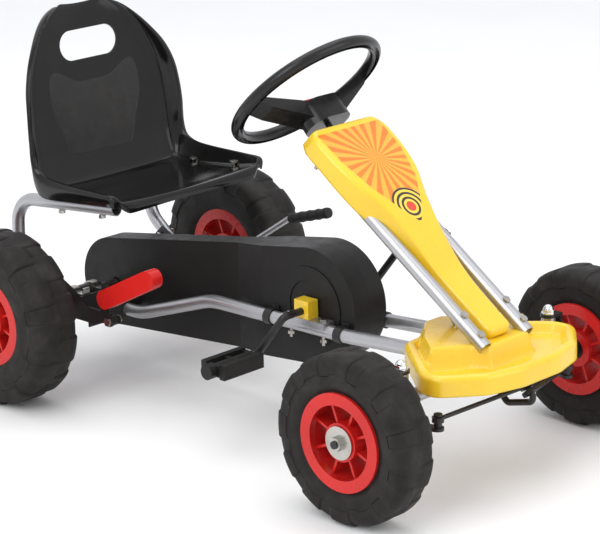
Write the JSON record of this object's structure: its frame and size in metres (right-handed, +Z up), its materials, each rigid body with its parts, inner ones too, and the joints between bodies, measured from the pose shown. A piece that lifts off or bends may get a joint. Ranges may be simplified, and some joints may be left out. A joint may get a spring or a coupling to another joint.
{
  "type": "pedal go kart",
  "caption": "Child's pedal go kart with a bucket seat, steered front wheels, a chain driven rear axle, a front bumper and two side levers.",
  "frame": {"origin": "middle of the footprint's bounding box, on the ground", "axes": "+X forward, +Y to the kart's left, +Z up"},
  "size_m": [1.0526, 0.63, 0.6318],
  "materials": {
    "silver_tube": "satin silver paint",
    "dark_sheet": "satin dark paint",
    "black_metal": "satin black paint",
    "zinc": "zinc plated",
    "chrome": "bright",
    "yellow_plastic": "gloss",
    "red_plastic": "gloss",
    "red_grip": "semi gloss",
    "seat_plastic": "gloss with a matt panel",
    "wheel_plastic": "semi gloss",
    "black_plastic": "matt",
    "tyre_rubber": "moulded",
    "grip_rubber": "ribbed"
  },
  "bodies": {
    "frame": {"main_tube_r": "silver_tube", "main_tube_l": "silver_tube", "rear_cross": "dark_sheet", "axle_sleeve_r": "black_metal", "axle_sleeve_l": "black_metal", "sleeve_clamps": "zinc", "seat_tube_r": "silver_tube", "seat_tube_l": "silver_tube", "front_beam": "silver_tube", "beam_saddles": "dark_sheet", "column_tube_r": "silver_tube", "column_tube_l": "silver_tube", "column_screws": "zinc", "head_bracket": "dark_sheet", "foot_bracket": "dark_sheet", "shaft_bushes": "black_plastic", "fairing": "yellow_plastic", "bumper": "yellow_plastic", "seat": "seat_plastic", "seat_bolts": "zinc", "chain": "zinc", "guard_r": "black_plastic", "guard_l": "black_plastic", "guard_clips": "black_metal", "crank_bracket": "silver_tube", "crank_block_r": "yellow_plastic", "crank_block_l": "yellow_plastic", "frame_bolts": "zinc", "kingpins": "chrome", "lever_bolts": "zinc"},
    "rear_axle": {"rear_axle": "zinc", "rim_rr": "red_plastic", "rim_rl": "red_plastic", "tyre_rr": "tyre_rubber", "tyre_rl": "tyre_rubber", "rear_nuts": "zinc", "axle_sprocket": "zinc"},
    "crank": {"crankshaft": "black_metal", "crank_sprocket": "zinc"},
    "pedal_r": {"pedal_r": "black_plastic"},
    "pedal_l": {"pedal_l": "black_plastic"},
    "steering": {"steering_wheel": "wheel_plastic", "steering_cap": "red_plastic", "steering_shaft": "black_metal"},
    "knuckle_r": {"knuckle_r": "black_metal", "nut_fr": "zinc"},
    "knuckle_l": {"knuckle_l": "black_metal", "nut_fl": "zinc"},
    "wheel_fr": {"rim_fr": "red_plastic", "tyre_fr": "tyre_rubber", "bushes_fr": "black_plastic"},
    "wheel_fl": {"rim_fl": "red_plastic", "tyre_fl": "tyre_rubber", "bushes_fl": "black_plastic"},
    "tie_rod_r": {"tie_rod_r": "black_metal"},
    "tie_rod_l": {"tie_rod_l": "black_metal"},
    "brake_lever": {"brake_lever": "dark_sheet", "brake_grip": "red_grip"},
    "shift_lever": {"shift_lever": "silver_tube", "shift_grip": "grip_rubber"}
  },
  "joints": [
    {"name": "axle_spin", "type": "hinge", "parent": "frame", "child": "rear_axle", "pos_m": [-0.38425, 0, 0.142], "axis": [0, 1, 0], "continuous": true},
    {"name": "crank_spin", "type": "hinge", "parent": "frame", "child": "crank", "pos_m": [0.09375, 0, 0.2], "axis": [0, 1, 0], "continuous": true},
    {"name": "pedal_r_spin", "type": "hinge", "parent": "crank", "child": "pedal_r", "pos_m": [0.03959, -0.16, 0.12812], "axis": [0, 1, 0], "continuous": true},
    {"name": "pedal_l_spin", "type": "hinge", "parent": "crank", "child": "pedal_l", "pos_m": [0.14791, 0.16, 0.27188], "axis": [0, 1, 0], "continuous": true},
    {"name": "steer", "type": "hinge", "parent": "frame", "child": "steering", "pos_m": [0.05575, 0, 0.536], "axis": [-0.6947, 0, 0.7193], "range_deg": [-21, 21]},
    {"name": "kingpin_r", "type": "hinge", "parent": "frame", "child": "knuckle_r", "pos_m": [0.39975, -0.171, 0.16], "axis": [0, 0, 1], "range_deg": [-20, 20]},
    {"name": "kingpin_l", "type": "hinge", "parent": "frame", "child": "knuckle_l", "pos_m": [0.39975, 0.171, 0.16], "axis": [0, 0, 1], "range_deg": [-20, 20]},
    {"name": "front_wheel_r_spin", "type": "hinge", "parent": "knuckle_r", "child": "wheel_fr", "pos_m": [0.39875, -0.27, 0.1275], "axis": [0, 1, 0], "continuous": true},
    {"name": "front_wheel_l_spin", "type": "hinge", "parent": "knuckle_l", "child": "wheel_fl", "pos_m": [0.39875, 0.27, 0.1275], "axis": [0, 1, 0], "continuous": true},
    {"name": "tie_rod_r_end", "type": "hinge", "parent": "knuckle_r", "child": "tie_rod_r", "pos_m": [0.45275, -0.151, 0.1336], "axis": [0, 0, 1], "range_deg": [-23, 23]},
    {"name": "tie_rod_l_end", "type": "hinge", "parent": "knuckle_l", "child": "tie_rod_l", "pos_m": [0.45275, 0.151, 0.1336], "axis": [0, 0, 1], "range_deg": [-23, 23]},
    {"name": "brake_pull", "type": "hinge", "parent": "frame", "child": "brake_lever", "pos_m": [-0.25625, -0.151, 0.131], "axis": [0, 1, 0], "range_deg": [-25, 0]},
    {"name": "shift_move", "type": "hinge", "parent": "frame", "child": "shift_lever", "pos_m": [-0.25625, 0.151, 0.131], "axis": [0, 1, 0], "range_deg": [-20, 12]}
  ],
  "couplings": [
    {"joint": "crank_spin", "follows": "axle_spin", "ratio": 0.5},
    {"joint": "kingpin_r", "follows": "steer", "ratio": 0.95},
    {"joint": "kingpin_l", "follows": "steer", "ratio": 0.95},
    {"joint": "tie_rod_r_end", "follows": "steer", "ratio": -1.05},
    {"joint": "tie_rod_l_end", "follows": "steer", "ratio": -1.05}
  ]
}
